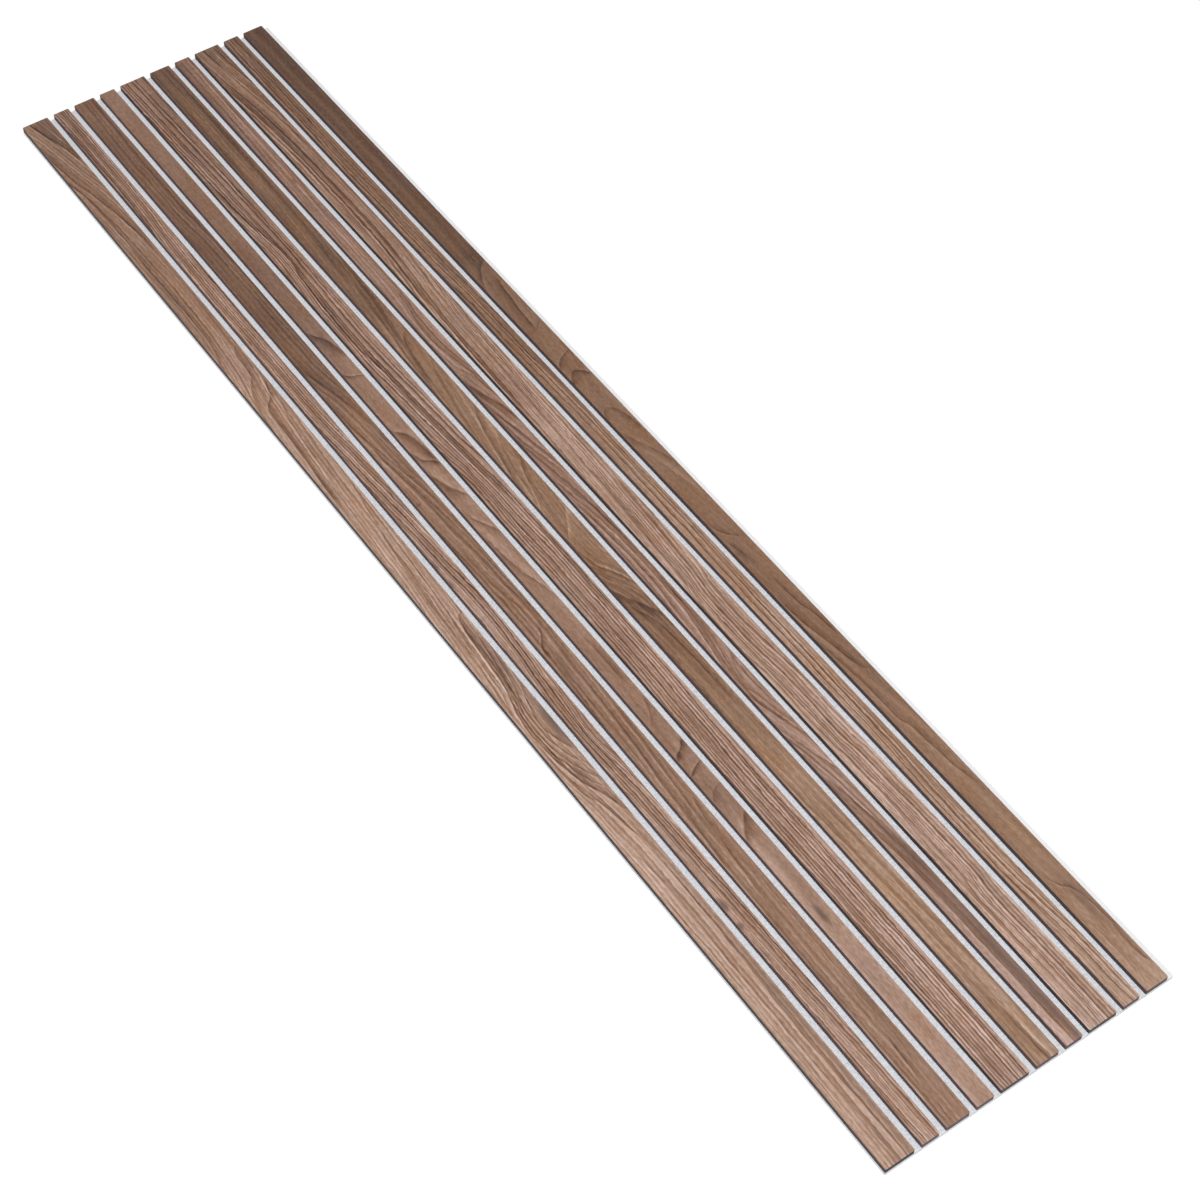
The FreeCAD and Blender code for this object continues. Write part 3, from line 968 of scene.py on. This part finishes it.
WIRE_COLOURS = ((0.2, srgb(150, 152, 156)), (0.8, srgb(205, 207, 210)))
WIRE_DRAWN = (3000, 200, 3000)
DRAWN_DETAIL = 3.0
DRAWN_WEIGHT = 0.6
WIRE_CLOUD = (300.0, 3.0)
WIRE_MEAN = 0.5
DRAWN_NOISE = (-0.3, 0.3)
WIRE_ROUGHNESS = (0.28, 0.45)
WIRE_BUMP = (0.3, 0.05 * MM)


def wire_material():
    material, net, shader = new_material("staple_wire", {"Metallic": 1.0})
    place, axes = object_place(net)
    drawn = net.noise(net.stretched(axes, WIRE_DRAWN), 1.0, DRAWN_DETAIL)
    cloud = net.noise(place, *WIRE_CLOUD)
    shade = net.add(net.times(drawn, DRAWN_WEIGHT), cloud, WIRE_MEAN)
    colour = net.ramp(shade, WIRE_COLOURS)
    roughness = net.range(drawn, *DRAWN_NOISE, *WIRE_ROUGHNESS)
    finish_surface(net, shader, colour, roughness, drawn, *WIRE_BUMP)
    return material


def dress(node, material):
    """Give a CAD node this material in every slot."""
    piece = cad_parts[node]
    if not piece.material_slots:
        piece.data.materials.append(material)
    for slot in piece.material_slots:
        slot.material = material


# Floor and background

FLOOR_SIZE = 40
FLOOR_DROP = 0.3 * MM  # keeps the floor clear of the panel's back
FLOOR_CONSTANTS = {
    "Base Color": (0.86, 0.86, 0.87, 1),
    "Roughness": 1.0,
    "Specular IOR Level": 0.0,
    "Emission Color": WHITE,
}
GLOW_PLACES = (2.0, 9.0)
GLOW_STRENGTHS = (0.30, 1.0)
ROOM_LIGHT = 0.35


def background_rays(net):
    """1 for the rays that show the background: direct, mirrored or through glass."""
    rays = net.node("ShaderNodeLightPath").outputs
    shown = net.math("MAXIMUM", rays["Is Camera Ray"], rays["Is Glossy Ray"])
    return net.math("MAXIMUM", shown, rays["Is Transmission Ray"])


def add_floor():
    """Pale floor. Far from the lamp its own white takes over, so no horizon shows."""
    material, net, shader = new_material("floor", FLOOR_CONSTANTS)
    place = object_place(net)[0]
    away = net.node("ShaderNodeVectorMath", {0: place}, operation="LENGTH").outputs["Value"]
    glow = net.range(away, *GLOW_PLACES, *GLOW_STRENGTHS)
    net.plug(shader.inputs["Emission Strength"], net.times(background_rays(net), glow))
    shape = bmesh.new()
    bmesh.ops.create_grid(shape, x_segments=1, y_segments=1, size=FLOOR_SIZE / 2)
    floor = add_mesh("floor", shape, material)
    floor.location.z = -FLOOR_DROP


def set_world():
    """Room that lights the panel softly from all round, and looks white itself."""
    world = bpy.data.worlds.new("room")
    world.use_nodes = True
    world.node_tree.nodes.clear()
    net = Net(world.node_tree)
    strength = net.range(background_rays(net), 0.0, 1.0, ROOM_LIGHT, 1.0, "LINEAR")
    room = net.node("ShaderNodeBackground", {"Color": WHITE, "Strength": strength})
    output = net.node("ShaderNodeOutputWorld")
    net.plug(output.inputs["Surface"], room.outputs[0])
    bpy.context.scene.world = world


# Felt board: one pressed slab, soft at its cut edges and slightly crowned in the gaps

FELT_CORNER = 2 * MM  # radius of the corners
FELT_EDGE = 0.7 * MM  # width of the soft edge
FACE_INSET = 0.6 * FELT_EDGE  # from the outline to the border of the two faces
ROW_STEP = 9 * MM
COLUMN_STEP = 12 * MM
GAP_COLUMNS = 6  # columns over each gap
PLACE_DIGITS = 6  # columns closer than a micrometre are one

# Heights of the two faces; the lumps' counts are changes per metre
SLAT_SINK = 0.15 * MM  # face under the slats, below the CAD's
GAP_SINK = 0.05 * MM  # the same beside a slat in a gap
GAP_CROWN = 0.25  # these heights are in millimetres
FINE_LUMPS = 160
COARSE_LUMPS = 45
LUMP_HEIGHT = 0.12
BACK_HEIGHT = 0.12
BACK_COARSE_LUMPS = 60
BACK_COARSE_HEIGHT = 0.08
BACK_FINE_LUMPS = 220
BACK_FINE_HEIGHT = 0.03

# Loops of points down the cut edge: share of the felt's height, inset in millimetres
SIDE_LOOPS = ((0.93, 0.1), (0.70, 0.05), (0.40, 0.08), (0.08, 0.12))
FRAY_LUMPS = 180
FRAY_DEPTH = 0.10
FRAY_MEAN = 0.05
FRAY_SHIFT = 300  # sets the loops' lumps apart
OUTWARD = 1.01  # puts a point past the outline, which then stops it


def felt_columns():
    """X of the felt's columns of points, closer together over the gaps and at the edges."""
    stops = {LOW.x, HIGH.x, LOW.x + FELT_EDGE, HIGH.x - FELT_EDGE}
    stops |= {LOW.x + FELT_CORNER, HIGH.x - FELT_CORNER}
    for start, end in GAPS:
        for step in range(GAP_COLUMNS + 1):
            stops.add(round(start + (end - start) * step / GAP_COLUMNS, PLACE_DIGITS))
    stops = sorted(stops)
    columns = [stops[0]]
    for stop in stops[1:]:
        start = columns[-1]
        wide = stop - start
        pieces = max(1, round(wide / COLUMN_STEP))
        columns += [start + wide * (index + 1) / pieces for index in range(pieces)]
    return columns


def felt_rows():
    """Y of the felt's rows of points."""
    inner = LENGTH - 2 * FELT_CORNER
    count = round(inner / ROW_STEP)
    rows = [LOW.y, LOW.y + FELT_EDGE]
    rows += [LOW.y + FELT_CORNER + inner * index / count for index in range(count + 1)]
    rows += [HIGH.y - FELT_EDGE, HIGH.y]
    return rows


def rounded_place(x, y, inset):
    """The place pulled inside the felt's outline, whose corners are round."""
    reach_x = HIGH.x - inset
    reach_y = HIGH.y - inset
    x = max(-reach_x, min(reach_x, x))
    y = max(-reach_y, min(reach_y, y))
    over_x = abs(x) - (reach_x - FELT_CORNER)
    over_y = abs(y) - (reach_y - FELT_CORNER)
    if over_x > 0 and over_y > 0:
        reach = math.hypot(over_x, over_y)
        if reach > FELT_CORNER:
            x = math.copysign(reach_x - FELT_CORNER + over_x * FELT_CORNER / reach, x)
            y = math.copysign(reach_y - FELT_CORNER + over_y * FELT_CORNER / reach, y)
    return x, y


def lumps(x, y, z, scale):
    """Smooth noise over X and Y; z picks one of many such noises."""
    return noise.noise(Vector((x, y, z)) * scale)


def gap_crown(x):
    """How far the felt swells between two slats, from 0 at a slat to 1 in the gap's middle."""
    for start, end in GAPS:
        if start < x < end:
            share = (x - start) / (end - start)
            return 4 * share * (1 - share)
    return 0.0


def top_height(x, y):
    crown = gap_crown(x)
    if crown == 0.0:
        return FELT_TOP - SLAT_SINK
    rough = lumps(x, y, 0.0, FINE_LUMPS) * LUMP_HEIGHT
    rough += lumps(x, y, 2.0, COARSE_LUMPS) * LUMP_HEIGHT
    return FELT_TOP + (crown * GAP_CROWN + rough * crown) * MM - GAP_SINK


def back_height(x, y):
    coarse = BACK_COARSE_HEIGHT * lumps(x, y, 5.0, BACK_COARSE_LUMPS)
    fine = BACK_FINE_HEIGHT * lumps(x, y, 9.0, BACK_FINE_LUMPS)
    return (BACK_HEIGHT + coarse + fine) * MM


def felt_face(shape, columns, rows, height):
    """Rows of points all over the felt, each as high as height says for its place."""
    grid = []
    for y in rows:
        line = []
        for x in columns:
            inner_x, inner_y = rounded_place(x, y, FACE_INSET)
            line.append(shape.verts.new((inner_x, inner_y, height(x, y))))
        grid.append(line)
    return grid


def border(grid):
    """Points all round a grid."""
    loop = list(grid[0])
    loop += [line[-1] for line in grid[1:]]
    loop += list(reversed(grid[-1][:-1]))
    loop += [line[0] for line in reversed(grid[1:-1])]
    return loop


def side_loop(shape, ring, height, inset):
    """Points below this ring, at one height on the slightly frayed cut edge."""
    loop = []
    for vertex in ring:
        x, y = vertex.co.x * OUTWARD, vertex.co.y * OUTWARD
        fray = FRAY_DEPTH * lumps(x, y, height * FRAY_SHIFT, FRAY_LUMPS) + FRAY_MEAN
        edge_x, edge_y = rounded_place(x, y, inset + fray * MM)
        loop.append(shape.verts.new((edge_x, edge_y, height)))
    return loop


def fill_face(shape, grid, flip):
    for lower, upper in zip(grid, grid[1:]):
        for index in range(len(lower) - 1):
            corners = [lower[index], lower[index + 1], upper[index + 1], upper[index]]
            if flip:
                corners.reverse()
            shape.faces.new(corners)


def fill_sides(shape, loops):
    for above, below in zip(loops, loops[1:]):
        count = len(above)
        for index in range(count):
            after = (index + 1) % count
            shape.faces.new((above[index], below[index], below[after], above[after]))


def make_felt(material):
    columns = felt_columns()
    rows = felt_rows()
    shape = bmesh.new()
    top = felt_face(shape, columns, rows, top_height)
    back = felt_face(shape, columns, rows, back_height)
    ring = border(top)
    sides = [side_loop(shape, ring, FELT_TOP * share, inset * MM) for share, inset in SIDE_LOOPS]
    fill_face(shape, top, flip=False)
    fill_face(shape, back, flip=True)
    fill_sides(shape, [ring, *sides, border(back)])
    for face in shape.faces:
        face.smooth = True
    bmesh.ops.recalc_face_normals(shape, faces=shape.faces)
    felt = add_mesh("felt_board", shape, material)
    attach(felt, "root")
    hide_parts("felt_backing")


# Putting it together

def main():
    bpy.context.scene.view_settings.view_transform = "Standard"
    add_camera()
    add_lamp()
    set_world()
    add_floor()
    hill = hill_group()
    mark = vein_group()
    wire = wire_material()
    for name in SLATS:
        dress(f"{name}_veneer", walnut(name, FIGURES[name], hill, mark))
        dress(f"{name}_core", core_board(name))
        dress(f"{name}_staples", wire)
    make_felt(felt_material())


main()
